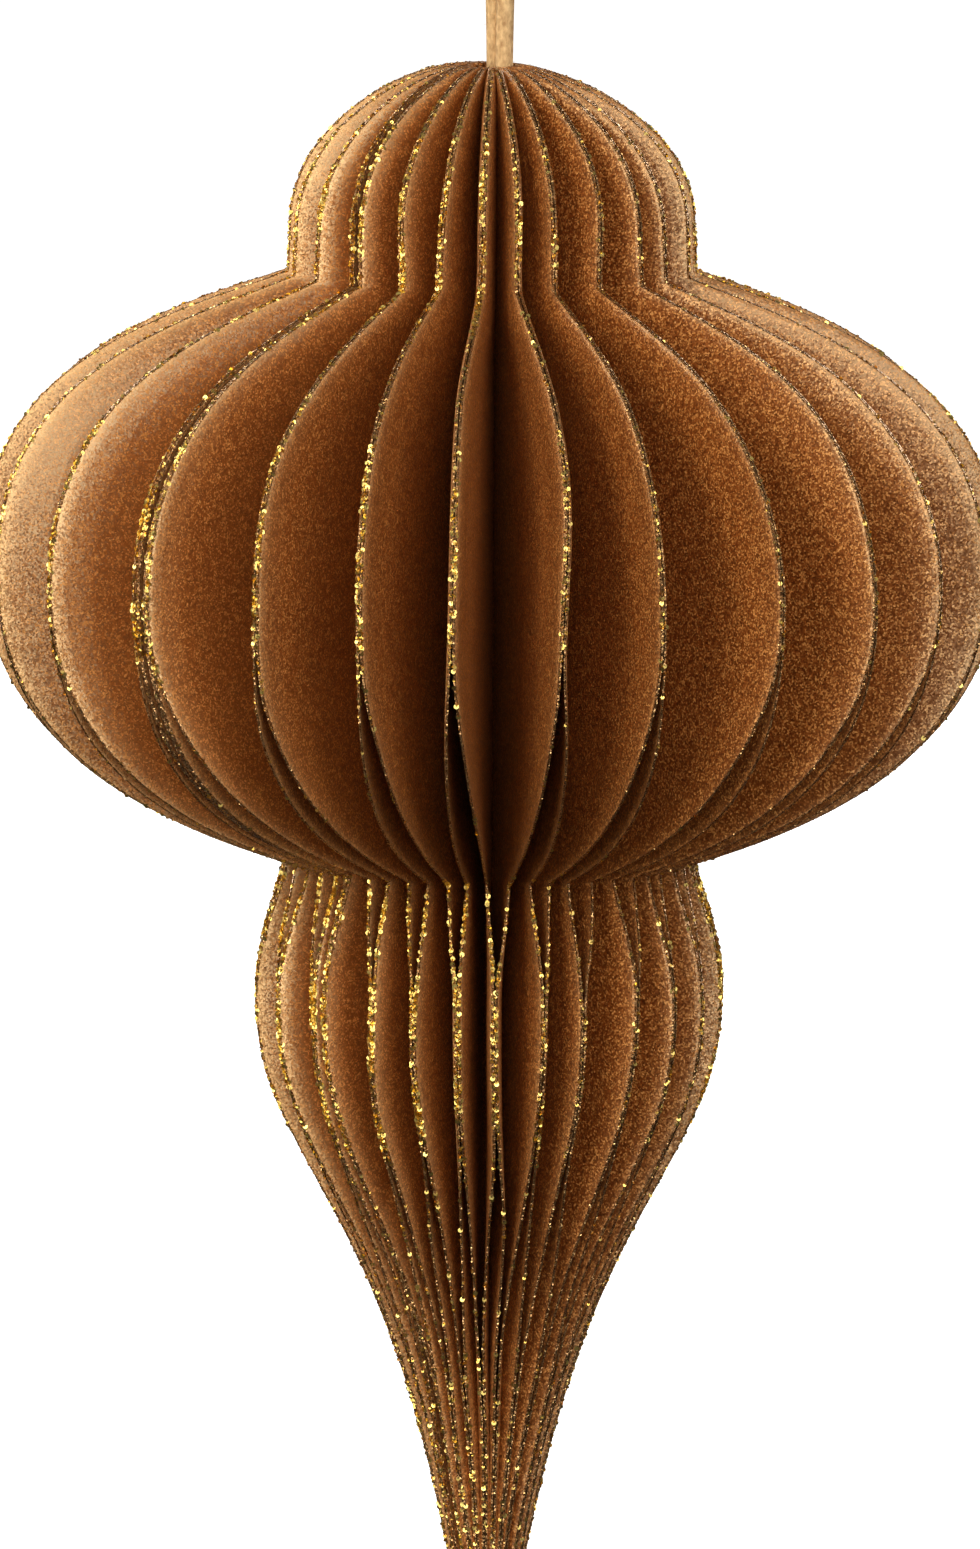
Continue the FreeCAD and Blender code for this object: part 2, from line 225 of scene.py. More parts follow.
def closed_loft(name, rings, caps):
    """A closed mesh through rings of equal length, with quads laid over its two ends."""
    levels, size, _ = rings.shape
    low = np.arange(levels - 1)[:, None] * size
    here = np.arange(size)[None, :]
    after = (here + 1) % size
    faces = np.stack([low + here, low + after, low + size + after, low + size + here], 2)
    faces = faces.reshape(-1, 4).tolist()
    end = (levels - 1) * size
    faces += [quad[::-1] for quad in caps]
    faces += [tuple(end + k for k in quad) for quad in caps]
    return meshed(name, rings.reshape(-1, 3).tolist(), faces)


def facing_grain(nodes, links, place, scale, spread):
    """Tiny cells that each face their own way, like the pearl flakes in the card."""
    cells = nodes.new("ShaderNodeTexVoronoi")
    cells.inputs["Scale"].default_value = scale
    centre = nodes.new("ShaderNodeVectorMath")
    centre.operation = "SUBTRACT"
    centre.inputs[1].default_value = (0.5, 0.5, 0.5)
    leaning = nodes.new("ShaderNodeVectorMath")
    leaning.operation = "SCALE"
    leaning.inputs["Scale"].default_value = spread
    geometry = nodes.new("ShaderNodeNewGeometry")
    added = nodes.new("ShaderNodeVectorMath")
    added.operation = "ADD"
    unit = nodes.new("ShaderNodeVectorMath")
    unit.operation = "NORMALIZE"
    links.new(place.outputs["Object"], cells.inputs["Vector"])
    links.new(cells.outputs["Color"], centre.inputs[0])
    links.new(centre.outputs["Vector"], leaning.inputs[0])
    links.new(geometry.outputs["Normal"], added.inputs[0])
    links.new(leaning.outputs["Vector"], added.inputs[1])
    links.new(added.outputs["Vector"], unit.inputs[0])
    return cells, unit


PAPER_GRAINS = 5600
PAPER_GRAIN_SPREAD = 0.34
PAPER_GRAIN_SHARE = 0.72
PAPER_FIBRE_SHARE = 0.28
PAPER_DARK = (0.12, 0.025, 0.003, 1)
PAPER_BODY = (0.345, 0.092, 0.013, 1)
PAPER_PEARL = (1.0, 0.45, 0.12, 1)
# The gold mixed into the card beside the rims: partly glitter dusting, partly painted highlight.
PAPER_DUST_AND_HIGHLIGHT = (1.0, 0.60, 0.26, 1)


def paper_material():
    """Shimmer card: a saturated brown ground with fine pearl grain, and gold dusting with painted
    highlight at its rims.

    The tone is part grain and part fibre noise. The rim gold, part dusting and part painted
    highlight, follows an amount stored on each point."""
    material, nodes, links, shader = blank_material("shimmer_card")
    place = nodes.new("ShaderNodeTexCoord")
    cells, normal = facing_grain(nodes, links, place, PAPER_GRAINS, PAPER_GRAIN_SPREAD)
    apart = nodes.new("ShaderNodeSeparateColor")
    fibre = nodes.new("ShaderNodeTexNoise")
    fibre.inputs["Scale"].default_value = 900
    fibre.inputs["Detail"].default_value = 4
    mottled = nodes.new("ShaderNodeMath")
    mottled.operation = "MULTIPLY"
    mottled.inputs[1].default_value = PAPER_FIBRE_SHARE
    tone = nodes.new("ShaderNodeMath")
    tone.operation = "MULTIPLY_ADD"
    tone.inputs[1].default_value = PAPER_GRAIN_SHARE
    ramp = colour_ramp(nodes, (0.1, PAPER_DARK), (0.95, PAPER_PEARL))
    body = ramp.color_ramp.elements.new(0.6)
    body.color = PAPER_BODY
    links.new(place.outputs["Object"], fibre.inputs["Vector"])
    links.new(cells.outputs["Color"], apart.inputs["Color"])
    links.new(fibre.outputs["Fac"], mottled.inputs[0])
    links.new(apart.outputs["Red"], tone.inputs[0])
    links.new(mottled.outputs[0], tone.inputs[2])
    links.new(tone.outputs[0], ramp.inputs["Fac"])
    # Gold mixed into the card beside the rims: partly glitter dusting, partly painted highlight
    # where the rolled rims catch the light.
    dust_and_highlight = nodes.new("ShaderNodeAttribute")
    dust_and_highlight.attribute_name = "rim_dust_and_highlight"
    patchy = nodes.new("ShaderNodeMath")
    patchy.operation = "MULTIPLY_ADD"
    patchy.inputs[1].default_value = 1.2
    patchy.inputs[2].default_value = 0.25
    cover = nodes.new("ShaderNodeMath")
    cover.operation = "MULTIPLY"
    cover.use_clamp = True
    dusted_and_highlighted = nodes.new("ShaderNodeMix")
    dusted_and_highlighted.data_type = "RGBA"
    dusted_and_highlighted.inputs[7].default_value = PAPER_DUST_AND_HIGHLIGHT
    links.new(apart.outputs["Blue"], patchy.inputs[0])
    links.new(patchy.outputs[0], cover.inputs[0])
    links.new(dust_and_highlight.outputs["Fac"], cover.inputs[1])
    links.new(cover.outputs[0], dusted_and_highlighted.inputs["Factor"])
    links.new(ramp.outputs["Color"], dusted_and_highlighted.inputs[6])
    links.new(dusted_and_highlighted.outputs[2], shader.inputs["Base Color"])
    links.new(normal.outputs["Vector"], shader.inputs["Normal"])
    shader.inputs["Metallic"].default_value = 0.0
    shader.inputs["Roughness"].default_value = 0.4
    shader.inputs["IOR"].default_value = 2.5
    shader.inputs["Specular Tint"].default_value = (1.0, 0.78, 0.46, 1)
    return material


# How much gold is mixed into the card beside each rim, by drop and by rib. It is partly glitter
# dusting and partly painted highlight: strongest on the far left ribs 23 to 25, and fading from
# rib 0 to the right-hand ribs 5 to 8, as the light falls on the rolled rims.
GOLD_AND_HIGHLIGHT_DROPS = [0, 6, 12, 24, 32, 45, 62, 80, 92, 98, 118, 130, 172]
GOLD_AND_HIGHLIGHT_SHARES = [0.5, 0.7, 1.0, 1.0, 0.8, 0.8, 0.9, 0.5, 0.5, 1.0, 1.0, 0.5, 0.4]
RIB_GOLD_AND_HIGHLIGHT = {0: 0.8, 1: 0.6, 2: 0.5, 3: 0.45, 4: 0.4, 5: 0.3, 6: 0.2, 7: 0.2, 8: 0.2,
            23: 1.3, 24: 1.3, 25: 1.2}
USUAL_GOLD_AND_HIGHLIGHT = 0.45
GOLD_AND_HIGHLIGHT_REACH = 0.9 * MM
gold_and_highlight_columns = np.concatenate([np.zeros(INNER_COLUMNS), np.exp(-RIM_STEPS / GOLD_AND_HIGHLIGHT_REACH)])
gold_and_highlight_levels = np.interp(DROP, GOLD_AND_HIGHLIGHT_DROPS, GOLD_AND_HIGHLIGHT_SHARES)


def store_gold_and_highlight(piece, amounts):
    """Stores how much gold dusting and painted highlight lies beside the rim, for each column of
    a piece's rings.
    """
    row = []
    for amount in amounts:
        row += [gold_and_highlight_columns * amount, gold_and_highlight_columns[::-1] * amount]
    stored = piece.data.attributes.new("rim_dust_and_highlight", "FLOAT", "POINT")
    stored.data.foreach_set("value", np.outer(gold_and_highlight_levels, np.concatenate(row)).ravel())


draw = random.Random(11)
bearings = [CLOSING]
for opening in OPENINGS:
    bearings.append(bearings[-1] + opening)
bearings.append(CLOSING + 360)
ribs = []
for number, bearing in enumerate(bearings):
    ribs.append({"bearing": bearing, "dome": DOME_SHIFTS.get(number, 0),
                 "waves": waves(draw, 0.08, 0.26), "lip": LIPS.get(number, USUAL_LIP),
                 "dust_and_highlight": RIB_GOLD_AND_HIGHLIGHT.get(number, USUAL_GOLD_AND_HIGHLIGHT)})
ribs[-1]["waves"] = ribs[0]["waves"]

shimmer_card = paper_material()
BOARD = 0.75 * MM
BOARD_LEAST = 0.55
BOARD_MORE = 0.45
BOARD_THICKENS = (24, 44)
BOARD_THINS = (80, 92)
HALF_GAP = 0.15 * MM
VALLEY_ROOM = 1.05
FOLD_DEPTH = 0.36 * MM
LOWER_TURN = 1
VALLEY_LIMIT = 0.98
BACK_LIMIT = 0.9
board_depth = BOARD_MORE * smooth(*BOARD_THICKENS, DROP) * (1 - smooth(*BOARD_THINS, DROP))
board_depth = BOARD * (BOARD_LEAST + board_depth)[:, None]
wing_caps = [(k, k + 1, 2 * COLUMNS - 2 - k, 2 * COLUMNS - 1 - k) for k in range(COLUMNS - 1)]
leaf_caps = []
for cap in wing_caps:
    leaf_caps += [cap, tuple(2 * COLUMNS + corner for corner in cap)]
leaf_caps.append((0, 2 * COLUMNS - 1, 2 * COLUMNS, 4 * COLUMNS - 1))
leaf_rings = []
for number in range(1, LEAVES + 1):
    name = "leaf_%02d" % number
    first = ribs[number - 1]
    last = ribs[number]
    spread = math.radians(last["bearing"] - first["bearing"])
    lower = LOWER_BEARINGS.get(number, (first["bearing"] + last["bearing"]) / 2 - LOWER_TURN)
    lower_waves = waves(draw, 0.08, 0.24)
    seats = (board_depth + HALF_GAP if number == 1 else 0,
             board_depth + HALF_GAP if number == LEAVES else 0)
    thick = PAPER * 2 + (BOARD + HALF_GAP if number in (1, LEAVES) else 0)
    meeting = thick / (2 * math.sin(spread / 2)) * VALLEY_ROOM
    valley = np.minimum(max(meeting, CHANNEL + FOLD_DEPTH), REACH * VALLEY_LIMIT)
    back = np.minimum(CHANNEL, valley * BACK_LIMIT)
    grids = []
    for rib, way, seat in ((first, 1, seats[0]), (last, -1, seats[1])):
        fold = {"bearing": lower, "waves": lower_waves, "early": draw.uniform(-1.5, 1.5),
                "bow": BOWS.get(number, USUAL_BOW) * draw.uniform(0.7, 1.3) * MM}
        grids.append(card_face(rib, fold, way, back, 0, PAPER, seat))
        grids.append(card_face(rib, fold, way, valley, 1, PAPER, seat))
    glued_a, open_a, glued_b, open_b = grids
    rings = np.concatenate([glued_a, open_a[:, ::-1], open_b, glued_b[:, ::-1]], 1)
    leaf = closed_loft("paper_" + name, rings, leaf_caps)
    store_gold_and_highlight(leaf, [first["dust_and_highlight"], last["dust_and_highlight"]])
    leaf.data.materials.append(shimmer_card)
    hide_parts(name)
    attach(leaf, "root")
    leaf_rings.append(rings)

# The two cover boards.
# Thicker card, cut to the same outline and glued to the outer wings of the first and last leaf.
# They face each other where the ring of leaves closes, with a narrow dark gap between them.
FOOT_LIMIT = 0.95
BOARD_FOOT = np.minimum(3.49 * MM, REACH * FOOT_LIMIT)
BOARD_TRIM = 0.2 * MM
BOARD_BOW = 0.3 * MM
GAP_WAVE = 0.12 * MM
GAP_WAVE_LENGTH = 9.0
board_rings = []
for name, rib, way, lower in (
    ("cover_first", ribs[0], 1, -44.5),
    ("cover_last", ribs[-1], -1, 314.5),
):
    fold = {"bearing": lower, "waves": waves(draw, 0.05, 0.12), "early": 0.0, "bow": BOARD_BOW}
    gap = HALF_GAP - GLUE + GAP_WAVE * np.sin(DROP / GAP_WAVE_LENGTH)[:, None] ** 2
    inside = card_face(rib, fold, way, BOARD_FOOT, 0, board_depth, gap, BOARD_TRIM)
    outside = card_face(rib, fold, way, BOARD_FOOT, 1, board_depth, gap, BOARD_TRIM)
    rings = np.concatenate([inside, outside[:, ::-1]], 1)
    board = closed_loft("board_" + name, rings, wing_caps)
    store_gold_and_highlight(board, [rib["dust_and_highlight"]])
    board.data.materials.append(shimmer_card)
    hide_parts(name)
    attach(board, "root")
    board_rings.append(rings)

# The hanging cord.
# A tan cotton cord, doubled: both ends are glued into the mouth of the channel, and the loop
# goes over a hook. The finial's weight keeps the two strands straight.
CORD = 2.0 * MM
CORD_ROUTE = [
    (-1.05, -12), (-1.05, 9), (-4.75, 34.1), (-6.5, 45.95), (0, 50.14),
    (6.5, 45.95), (4.75, 34.1), (1.05, 9), (1.05, -12),
]
CORD_ASIDE = 0.4 * MM
STRAND_SHIFT = 0.35 * MM
CORD_ANGLE = math.radians(24 - 90)
CORD_DARK = (0.46, 0.25, 0.10, 1)
CORD_PALE = (0.86, 0.58, 0.28, 1)


def cord_material():
    """Matt tan cotton, mottled and rough like spun fibre."""
    material, nodes, links, shader = blank_material("tan_cotton")
    place = nodes.new("ShaderNodeTexCoord")
    stretch = nodes.new("ShaderNodeMapping")
    stretch.inputs["Scale"].default_value = (1, 1, 0.55)
    fibre = nodes.new("ShaderNodeTexNoise")
    fibre.inputs["Scale"].default_value = 1900
    fibre.inputs["Detail"].default_value = 5
    ramp = colour_ramp(nodes, (0.3, CORD_DARK), (0.68, CORD_PALE))
    bump = nodes.new("ShaderNodeBump")
    bump.inputs["Strength"].default_value = 1.0
    bump.inputs["Distance"].default_value = 0.0004
    links.new(place.outputs["Object"], stretch.inputs["Vector"])
    links.new(stretch.outputs["Vector"], fibre.inputs["Vector"])
    links.new(fibre.outputs["Fac"], ramp.inputs["Fac"])
    links.new(ramp.outputs["Color"], shader.inputs["Base Color"])
    links.new(fibre.outputs["Fac"], bump.inputs["Height"])
    links.new(bump.outputs["Normal"], shader.inputs["Normal"])
    shader.inputs["Roughness"].default_value = 0.85
    return material


curve = bpy.data.curves.new("hanging_cord_line", "CURVE")
curve.dimensions = "3D"
spline = curve.splines.new("NURBS")
spline.points.add(len(CORD_ROUTE) - 1)
for point, (across, above) in zip(spline.points, CORD_ROUTE):
    x = CORD_ASIDE + STRAND_SHIFT + across * MM * math.cos(CORD_ANGLE)
    y = across * MM * math.sin(CORD_ANGLE)
    point.co = (x, y, CROWN + above * MM, 1)
spline.order_u = 3
spline.use_endpoint_u = True
spline.resolution_u = 24
curve.bevel_depth = CORD / 2
curve.bevel_resolution = 6
curve.use_fill_caps = True
cord = placed("hanging_cord_loop", curve)
tan_cotton = cord_material()
curve.materials.append(tan_cotton)
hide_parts("hanging_cord")
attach(cord, "root")

FUZZ_PER_SQUARE_METRE = 5.0e5
FUZZ_LENGTH = 0.9 * MM
FUZZ_RADIUS = 0.012 * MM
FUZZ_CEILING = 2.1 * MM


def applied(thing):
    """A plain mesh of an object as its modifiers leave it."""
    bpy.context.view_layer.update()
    return bpy.data.meshes.new_from_object(
        thing.evaluated_get(bpy.context.evaluated_depsgraph_get()))


def fuzz_tree():
    """Strews short bent fibres over the cord's surface."""
    tree = bpy.data.node_groups.new("cord_fuzz", "GeometryNodeTree")
    face = tree.interface
    face.new_socket("Geometry", in_out="INPUT", socket_type="NodeSocketGeometry")
    for label, kind, value in (
        ("Density", "NodeSocketFloat", FUZZ_PER_SQUARE_METRE),
        ("Length", "NodeSocketFloat", FUZZ_LENGTH),
        ("Radius", "NodeSocketFloat", FUZZ_RADIUS),
        ("Seed", "NodeSocketInt", 5),
    ):
        socket = face.new_socket(label, in_out="INPUT", socket_type=kind)
        socket.default_value = value
    face.new_socket("Geometry", in_out="OUTPUT", socket_type="NodeSocketGeometry")
    nodes = tree.nodes
    links = tree.links
    given = nodes.new("NodeGroupInput")
    made = nodes.new("NodeGroupOutput")
    strew = nodes.new("GeometryNodeDistributePointsOnFaces")
    hair = nodes.new("GeometryNodeCurveQuadraticBezier")
    hair.inputs["Resolution"].default_value = 5
    hair.inputs["Start"].default_value = (0, 0, 0)
    hair.inputs["Middle"].default_value = (0.1, 0, 0.5)
    hair.inputs["End"].default_value = (0.75, 0.1, 0.6)
    longer = nodes.new("GeometryNodeTransform")
    size = nodes.new("ShaderNodeCombineXYZ")
    section = nodes.new("GeometryNodeCurvePrimitiveCircle")
    section.inputs["Resolution"].default_value = 3
    solid = nodes.new("GeometryNodeCurveToMesh")
    solid.inputs["Fill Caps"].default_value = True
    place = nodes.new("GeometryNodeInstanceOnPoints")
    tilt = nodes.new("FunctionNodeRandomValue")
    tilt.data_type = "FLOAT_VECTOR"
    tilt.inputs[0].default_value = (-0.9, -0.9, -3.14)
    tilt.inputs[1].default_value = (0.9, 0.9, 3.14)
    euler = nodes.new("FunctionNodeEulerToRotation")
    turn = nodes.new("FunctionNodeRotateRotation")
    turn.rotation_space = "LOCAL"
    share = nodes.new("FunctionNodeRandomValue")
    share.data_type = "FLOAT"
    share.inputs[2].default_value = 0.3
    share.inputs[3].default_value = 1.0
    real = nodes.new("GeometryNodeRealizeInstances")
    paint = nodes.new("GeometryNodeSetMaterial")
    paint.inputs["Material"].default_value = tan_cotton
    for axis in ("X", "Y", "Z"):
        links.new(given.outputs["Length"], size.inputs[axis])
    links.new(hair.outputs["Curve"], longer.inputs["Geometry"])
    links.new(size.outputs["Vector"], longer.inputs["Scale"])
    links.new(longer.outputs["Geometry"], solid.inputs["Curve"])
    links.new(given.outputs["Radius"], section.inputs["Radius"])
    links.new(section.outputs["Curve"], solid.inputs["Profile Curve"])
    links.new(given.outputs["Geometry"], strew.inputs["Mesh"])
    links.new(given.outputs["Density"], strew.inputs["Density"])
    for chance in (strew, tilt, share):
        links.new(given.outputs["Seed"], chance.inputs["Seed"])
    links.new(strew.outputs["Points"], place.inputs["Points"])
    links.new(solid.outputs["Mesh"], place.inputs["Instance"])
    links.new(tilt.outputs[0], euler.inputs["Euler"])
    links.new(strew.outputs["Rotation"], turn.inputs["Rotation"])
    links.new(euler.outputs["Rotation"], turn.inputs["Rotate By"])
    links.new(turn.outputs["Rotation"], place.inputs["Rotation"])
    links.new(share.outputs[1], place.inputs["Scale"])
    links.new(place.outputs["Instances"], real.inputs["Geometry"])
    links.new(real.outputs["Geometry"], paint.inputs["Geometry"])
    links.new(paint.outputs["Geometry"], made.inputs["Geometry"])
    return tree


fuzz = placed("hanging_cord_fuzz", applied(cord))
fuzz_modifier = fuzz.modifiers.new("fuzz", "NODES")
fuzz_modifier.node_group = fuzz_tree()
fuzz_mesh = applied(fuzz)
fuzz.modifiers.remove(fuzz_modifier)
fuzz_points = np.zeros(len(fuzz_mesh.vertices) * 3)
fuzz_mesh.vertices.foreach_get("co", fuzz_points)
fuzz_points = fuzz_points.reshape(-1, 3)
fuzz_points[:, 2] = np.minimum(fuzz_points[:, 2], FUZZ_CEILING)
fuzz_mesh.vertices.foreach_set("co", fuzz_points.ravel())
fuzz.data = fuzz_mesh
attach(fuzz, "root")

# The glitter.
# A bed of glue with fine brown-gold glitter covers every cut edge, and larger bright gold flakes
# lie on it in clumps, most over the dome, the upper half of the wide bulge and the second bulge.
CLUMP_DROPS = [0, 5, 9, 22, 27, 36, 42, 60, 66, 88, 94, 116, 124, 140, 150, 172]
CLUMP_SHARES = [0.15, 0.3, 1.2, 1.5, 0.5, 0.3, 1.2, 1.1, 0.15, 0.1, 2.2, 1.9, 0.3, 0.3,
                0.6, 0.65]
CLUMP_CONTRAST = 0.55
BED_GRAINS = 6500
BED_GRAIN_SPREAD = 1.3
BED_DARK = (0.17, 0.07, 0.022, 1)
BED_GOLD = (0.88, 0.52, 0.23, 1)


def bed_material():
    """Glitter glue: dark between its grains, brown-gold on them."""
    material, nodes, links, shader = blank_material("glitter_bed")
    place = nodes.new("ShaderNodeTexCoord")
    cells, normal = facing_grain(nodes, links, place, BED_GRAINS, BED_GRAIN_SPREAD)
    apart = nodes.new("ShaderNodeSeparateColor")
    ramp = colour_ramp(nodes, (0.25, BED_DARK), (0.95, BED_GOLD))
    links.new(cells.outputs["Color"], apart.inputs["Color"])
    links.new(apart.outputs["Green"], ramp.inputs["Fac"])
    links.new(ramp.outputs["Color"], shader.inputs["Base Color"])
    links.new(normal.outputs["Vector"], shader.inputs["Normal"])
    shader.inputs["Metallic"].default_value = 0.9
    shader.inputs["Roughness"].default_value = 0.35
    return material


def flake_material(name, dark, bright):
    """Metal flakes whose tone goes from dark to bright with each flake's own number."""
    material, nodes, links, shader = blank_material(name)
    tone = nodes.new("ShaderNodeAttribute")
    tone.attribute_name = "flake_tone"
    ramp = colour_ramp(nodes, (0.1, dark), (0.9, bright))
    links.new(tone.outputs["Fac"], ramp.inputs["Fac"])
    links.new(ramp.outputs["Color"], shader.inputs["Base Color"])
    shader.inputs["Metallic"].default_value = 1.0
    shader.inputs["Roughness"].default_value = 0.3
    return material


def flake_tree(name, corners, material):
    """Strews flat flakes over the strip it is given, in clumps where its attribute says so."""
    tree = bpy.data.node_groups.new(name, "GeometryNodeTree")
    face = tree.interface
    face.new_socket("Geometry", in_out="INPUT", socket_type="NodeSocketGeometry")
    for label in ("Density", "Clumping", "Smallest", "Largest", "Tilt"):
        face.new_socket(label, in_out="INPUT", socket_type="NodeSocketFloat")
    face.new_socket("Seed", in_out="INPUT", socket_type="NodeSocketInt")
    face.new_socket("Geometry", in_out="OUTPUT", socket_type="NodeSocketGeometry")
    nodes = tree.nodes
    links = tree.links
    given = nodes.new("NodeGroupInput")
    made = nodes.new("NodeGroupOutput")
    clump = nodes.new("GeometryNodeInputNamedAttribute")
    clump.data_type = "FLOAT"
    clump.inputs["Name"].default_value = "clump"
    uneven = nodes.new("ShaderNodeMix")
    uneven.data_type = "FLOAT"
    uneven.inputs["A"].default_value = 1.0
    dense = nodes.new("ShaderNodeMath")
    dense.operation = "MULTIPLY"
    strew = nodes.new("GeometryNodeDistributePointsOnFaces")
    strew.distribute_method = "RANDOM"
    flake = nodes.new("GeometryNodeMeshCircle")
    flake.fill_type = "NGON"
    flake.inputs["Vertices"].default_value = corners
    flake.inputs["Radius"].default_value = 1
    place = nodes.new("GeometryNodeInstanceOnPoints")
    size = nodes.new("FunctionNodeRandomValue")
    size.data_type = "FLOAT"
    scale = nodes.new("ShaderNodeMapRange")
    tilt = nodes.new("FunctionNodeRandomValue")
    tilt.data_type = "FLOAT_VECTOR"
    less = nodes.new("ShaderNodeMath")
    less.operation = "MULTIPLY"
    less.inputs[1].default_value = -1
    turn = nodes.new("FunctionNodeRotateRotation")
    turn.rotation_space = "LOCAL"
    euler = nodes.new("FunctionNodeEulerToRotation")
    tone = nodes.new("FunctionNodeRandomValue")
    tone.data_type = "FLOAT"
    keep = nodes.new("GeometryNodeStoreNamedAttribute")
    keep.data_type = "FLOAT"
    keep.domain = "INSTANCE"
    keep.inputs["Name"].default_value = "flake_tone"
    real = nodes.new("GeometryNodeRealizeInstances")
    paint = nodes.new("GeometryNodeSetMaterial")
    paint.inputs["Material"].default_value = material
    links.new(given.outputs["Geometry"], strew.inputs["Mesh"])
    links.new(given.outputs["Clumping"], uneven.inputs["Factor"])
    links.new(clump.outputs["Attribute"], uneven.inputs["B"])
    links.new(given.outputs["Density"], dense.inputs[0])
    links.new(uneven.outputs["Result"], dense.inputs[1])
    links.new(dense.outputs[0], strew.inputs["Density"])
    for chance in (strew, size, tilt, tone):
        links.new(given.outputs["Seed"], chance.inputs["Seed"])
    links.new(strew.outputs["Points"], place.inputs["Points"])
    links.new(flake.outputs["Mesh"], place.inputs["Instance"])
    links.new(size.outputs[1], scale.inputs["Value"])
    links.new(given.outputs["Smallest"], scale.inputs["To Min"])
    links.new(given.outputs["Largest"], scale.inputs["To Max"])
    links.new(scale.outputs["Result"], place.inputs["Scale"])
    links.new(given.outputs["Tilt"], less.inputs[0])
    links.new(less.outputs[0], tilt.inputs[0])
    links.new(given.outputs["Tilt"], tilt.inputs[1])
    links.new(tilt.outputs[0], euler.inputs["Euler"])
    links.new(strew.outputs["Rotation"], turn.inputs["Rotation"])
    links.new(euler.outputs["Rotation"], turn.inputs["Rotate By"])
    links.new(turn.outputs["Rotation"], place.inputs["Rotation"])
    links.new(place.outputs["Instances"], keep.inputs["Geometry"])
    links.new(tone.outputs[1], keep.inputs["Value"])
    links.new(keep.outputs["Geometry"], real.inputs["Geometry"])
    links.new(real.outputs["Geometry"], paint.inputs["Geometry"])
    links.new(paint.outputs["Geometry"], made.inputs["Geometry"])
    return tree


def rim_strips(name, rings, rims, lift, draw, plenty):
    """A thin skin over the cut edges: each rim is a run of columns across its edge."""
    levels = len(rings)
    points = []
    faces = []
    clumps = []
    for rim in rims:
        grid = rings[:, rim]
        middle = grid.mean(1, keepdims=True)
        out = middle * np.array([1, 1, 0])
        out = out / np.linalg.norm(out, axis=2, keepdims=True)
        across = grid - middle
        across = across - out * (across * out).sum(2, keepdims=True)
        width = np.linalg.norm(across, axis=2, keepdims=True) + 1e-9
        grid = grid + out * lift + across / width * lift
        drops = (CROWN - grid[:, 0, 2]) / MM
        patchy = sum(np.sin(FULL_TURN * drops / draw.uniform(3, 16) + draw.uniform(0, 6.3))
                     for _ in range(4))
        amount = np.interp(drops, CLUMP_DROPS, CLUMP_SHARES) * np.exp(CLUMP_CONTRAST * patchy)
        amount = amount * plenty
        start = len(points)
        size = len(rim)
        points += grid.reshape(-1, 3).tolist()
        clumps += np.repeat(amount, size).tolist()
        for level in range(levels - 1):
            low = start + level * size
            for k in range(size - 1):
                faces.append((low + k, low + k + 1, low + size + k + 1, low + size + k))
    strip = meshed(name, points, faces)
    stored = strip.data.attributes.new("clump", "FLOAT", "POINT")
    stored.data.foreach_set("value", clumps)
    return strip


def strewn(strip, tree, inputs):
    """The flakes that a tree strews over a strip, as a plain mesh."""
    sockets = {item.name: item.identifier for item in tree.interface.items_tree
               if item.item_type == "SOCKET" and item.in_out == "INPUT"}
    modifier = strip.modifiers.new("flakes", "NODES")
    modifier.node_group = tree
    for label, value in inputs.items():
        modifier[sockets[label]] = value
    mesh = applied(strip)
    strip.modifiers.remove(modifier)
    return mesh


glitter_bed = bed_material()
fine_gold = flake_material("fine_gold", (0.45, 0.20, 0.06, 1), (0.98, 0.64, 0.26, 1))
bright_gold = flake_material("bright_gold", (0.90, 0.55, 0.10, 1), (1.0, 0.76, 0.22, 1))
fine_tree = flake_tree("fine_flakes", 4, fine_gold)
bright_tree = flake_tree("bright_flakes", 6, bright_gold)
FINE_INPUTS = {"Density": 1.1e7, "Clumping": 0.0, "Smallest": 0.00005,
               "Largest": 0.00012, "Tilt": 0.8}
BRIGHT_INPUTS = {"Density": 5.5e6, "Clumping": 1.0, "Smallest": 0.00013,
                 "Largest": 0.00031, "Tilt": 0.6}
BRIGHT_SEED = 100
LEAF_GLITTER = {1: 1.3, 2: 1.2, 3: 1.1, 4: 0.8, 5: 0.45, 6: 0.2, 7: 0.15, 8: 0.15, 9: 0.2,
                24: 0.9, 25: 1.3, 26: 1.5}
USUAL_GLITTER = 0.9
BOARD_GLITTER = 0.6
BOARD_SEED = 40
BED_LIFT = 0.02 * MM


def add_glitter(name, rings, rims, seed, plenty):
    """Covers the rims of one piece with the bed and both kinds of flake."""
    chance = random.Random(seed)
    strip = rim_strips(name, rings, rims, BED_LIFT, chance, plenty)
    strip.data.materials.append(glitter_bed)
    fine = strewn(strip, fine_tree, FINE_INPUTS | {"Seed": seed})
    bright = strewn(strip, bright_tree, BRIGHT_INPUTS | {"Seed": seed + BRIGHT_SEED})
    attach(strip, "root")
    for label, mesh in (("fine", fine), ("bright", bright)):
        mesh.name = name + "_" + label
        piece = placed(mesh.name, mesh)
        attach(piece, "root")


near_rim = list(range(COLUMNS - 2, COLUMNS + 2))
far_rim = list(range(3 * COLUMNS - 2, 3 * COLUMNS + 2))
for number, rings in enumerate(leaf_rings, 1):
    plenty = LEAF_GLITTER.get(number, USUAL_GLITTER)
    add_glitter("glitter_leaf_%02d" % number, rings, [near_rim, far_rim], number,
                plenty)
for number, rings in enumerate(board_rings, 1):
    add_glitter("glitter_cover_%d" % number, rings, [near_rim], BOARD_SEED + number,
                BOARD_GLITTER)

